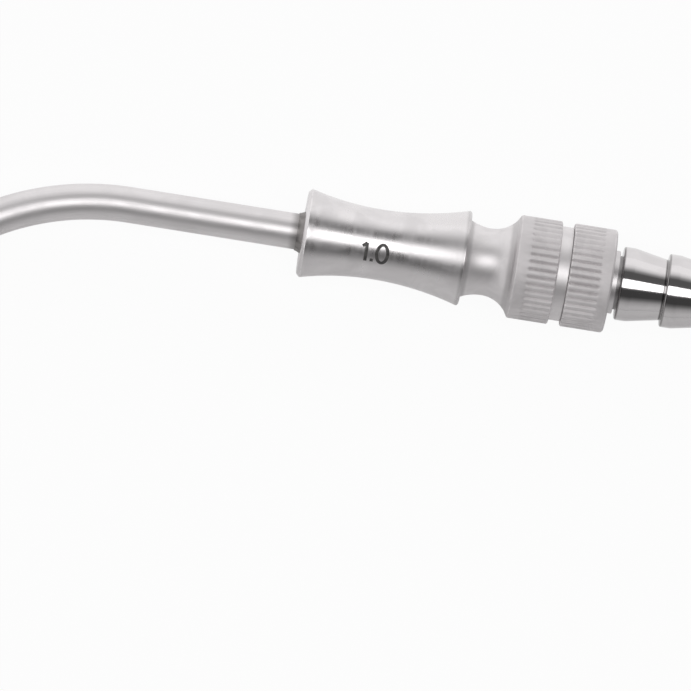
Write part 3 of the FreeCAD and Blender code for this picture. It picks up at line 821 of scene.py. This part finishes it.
def make_etched_mark(effects):
    """The etched number: steel darkened by the etch, slightly broken at its edges."""
    material, tree, shader = new_finish("mark_etched")
    shader.inputs["Metallic"].default_value = 0.6
    grain = use(tree, effects["blasted_grain"], Size=0.08)["Grain"]
    haze = use(tree, effects["wiped_haze"], Size=0.8)["Haze"]
    deep, shallow, rubbed = (0.035, 0.033, 0.033), (0.11, 0.105, 0.103), (0.19, 0.185, 0.18)
    toned = mix(tree, grain, deep, shallow)
    tree.links.new(mix(tree, maths(tree, "MULTIPLY", haze, 0.4), toned, rubbed),
                   shader.inputs["Base Color"])
    tree.links.new(spread(tree, grain, 0.2, 0.8, 0.45, 0.65), shader.inputs["Roughness"])
    bump(tree, shader, grain, 0.004)
    return material


handle_place = make_handle_place()
effects = {"handle_place": handle_place}
for maker in (make_turning_lines, make_blasted_grain, make_hairlines, make_worn_edges,
              make_wiped_haze):
    group = maker(handle_place)
    effects[group.name] = group

sleeve_polish = make_polished_steel(
    "steel_sleeve", steel(0.765), steel(0.705), effects, rough=0.24, pitch=0.42, depth=0.0008,
    edges=(FRONT_CHAMFER, SLEEVE - REAR_CHAMFER), seam=SLEEVE)
nozzle_polish = make_polished_steel(
    "steel_nozzle", steel(0.70), steel(0.65), effects, rough=0.06, pitch=0.16, depth=0.0008,
    edges=(RELIEF_FRONT,), barbed=True)
satin_steel = make_satin_steel(effects)
drawn_steel = make_drawn_steel(effects)

make_suction_tube(drawn_steel)
make_braze(make_braze_alloy(effects))
make_sleeve(sleeve_polish)
make_hub(satin_steel)
make_thread(satin_steel)
make_seal(make_silicone(effects))
make_nozzle(nozzle_polish)
make_nut(satin_steel)
make_size_mark(make_etched_mark(effects))


# Stage, light and camera

def make_floor():
    """A pale paper floor; what the camera sees of it is mostly plain white, with a soft shadow.
    The metal sees a painted glow in it, brighter on the plus Y side."""
    mesh = bpy.data.meshes.new("floor_paper")
    corners = ((-1, -1), (1, -1), (1, 1), (-1, 1))
    mesh.from_pydata([(x * FLOOR_HALF, y * FLOOR_HALF, 0) for x, y in corners], [],
                     [(0, 1, 2, 3)])
    floor = bpy.data.objects.new("floor_paper", mesh)
    bpy.context.scene.collection.objects.link(floor)
    material, tree, shader = new_finish("paper_white")
    place = add(tree, "ShaderNodeTexCoord").outputs["Object"]
    fibre = noise(tree, place, 900.0, 3.0, 0.6)
    tree.links.new(mix(tree, fibre, (0.86,) * 3, (0.89,) * 3), shader.inputs["Base Color"])
    shader.inputs["Roughness"].default_value = 0.9
    shader.inputs["Specular IOR Level"].default_value = 0.1
    bump(tree, shader, fibre, 0.02)
    glow = add(tree, "ShaderNodeEmission", {"Color": (1, 1, 1, 1), "Strength": 1.0})
    path = add(tree, "ShaderNodeLightPath").outputs
    across = add(tree, "ShaderNodeSeparateXYZ", {0: place}).outputs[1]
    # Painted glow: to the metal, the floor is brighter on the plus Y side.
    painted_glow = spread(tree, across, *FLOOR_GLOW_Y, 0.0, FLOOR_SHEEN_GLOW)
    share = maths(tree, "ADD", maths(tree, "MULTIPLY", path["Is Camera Ray"], FLOOR_GLOW),
                  maths(tree, "MULTIPLY", path["Is Glossy Ray"], painted_glow), clamp=True)
    blend = add(tree, "ShaderNodeMixShader", {0: share, 1: shader.outputs[0], 2: glow.outputs[0]})
    tree.links.new(blend.outputs[0], tree.nodes["Material Output"].inputs["Surface"])
    material.cycles.emission_sampling = "NONE"
    mesh.materials.append(material)


def make_room():
    """White to the camera; to the metal, a studio with dark cards either side of the softbox."""
    world = bpy.data.worlds.new("studio_room")
    bpy.context.scene.world = world
    world.use_nodes = True
    tree = world.node_tree
    parts = add(tree, "ShaderNodeSeparateXYZ",
                {0: add(tree, "ShaderNodeTexCoord").outputs["Generated"]}).outputs
    tilt = maths(tree, "ARCTAN2", parts[1], parts[2])
    share = maths(tree, "ADD", maths(tree, "DIVIDE", tilt, math.tau), 0.5)
    ramp = add(tree, "ShaderNodeValToRGB", {0: share})
    stops = ramp.color_ramp.elements
    while len(stops) > 1:
        stops.remove(stops[-1])
    for index, (degrees, level) in enumerate(ROOM):
        stop = stops[0] if index == 0 else stops.new(0.5 + degrees / 360)
        stop.position = 0.5 + degrees / 360
        stop.color = (level, level, level, 1.0)
    ramp.color_ramp.interpolation = "LINEAR"
    room = tree.nodes["Background"]
    toward_hose = spread(tree, parts[0], *ENDS)
    toward_tube = spread(tree, maths(tree, "MULTIPLY", parts[0], -1.0), *ENDS)
    one_end = mix(tree, toward_hose, ramp.outputs[0], (HOSE_END,) * 3)
    tree.links.new(mix(tree, toward_tube, one_end, (TUBE_END,) * 3), room.inputs["Color"])
    room.inputs["Strength"].default_value = ROOM_LEVEL
    white = add(tree, "ShaderNodeBackground", {"Color": (1, 1, 1, 1), "Strength": 1.0})
    path = add(tree, "ShaderNodeLightPath").outputs
    blend = add(tree, "ShaderNodeMixShader",
                {0: path["Is Camera Ray"], 1: room.outputs[0], 2: white.outputs[0]})
    tree.links.new(blend.outputs[0], tree.nodes["World Output"].inputs["Surface"])


def make_softbox():
    """A rectangular softbox, its long side along the handle."""
    data = bpy.data.lights.new("softbox_above", "AREA")
    data.shape = "RECTANGLE"
    data.size, data.size_y = SOFTBOX_SIZE
    data.energy = SOFTBOX_WATTS
    lamp = bpy.data.objects.new("softbox_above", data)
    lamp.location = SOFTBOX_AIM + Vector(SOFTBOX_RISE)
    out = Vector(SOFTBOX_RISE).normalized()
    side = (Vector((1, 0, 0)) - out * out.x).normalized()
    lamp.rotation_euler = Matrix((side, out.cross(side), out)).transposed().to_euler()
    lamp.visible_camera = False
    bpy.context.scene.collection.objects.link(lamp)


def make_camera():
    """Looks down on the handle, whose axis runs down to the right by SLOPE in the picture."""
    data = bpy.data.cameras.new("camera_above")
    camera = bpy.data.objects.new("camera_above", data)
    bpy.context.scene.collection.objects.link(camera)
    tilt = DIP + LEAN
    along = Vector((math.cos(tilt), 0, math.sin(tilt)))
    back = Vector((-math.sin(tilt), 0, math.cos(tilt)))
    right = along * math.cos(SLOPE) + Vector((0, math.sin(SLOPE), 0))
    up = Vector((0, math.cos(SLOPE), 0)) - along * math.sin(SLOPE)
    front = HANDLE @ Vector((0, 0, 0))
    camera.location = front + (right * VIEW_RIGHT - up * VIEW_DOWN) * MM + back * VIEW_DISTANCE
    camera.rotation_euler = Matrix((right, up, back)).transposed().to_euler()
    data.sensor_width = 36.0
    data.lens = data.sensor_width * VIEW_DISTANCE / (VIEW_WIDTH * MM)
    data.clip_start, data.clip_end = 0.05, 20.0
    bpy.context.scene.camera = camera


make_floor()
make_room()
make_softbox()
make_camera()
bpy.context.scene.view_settings.view_transform = "Standard"
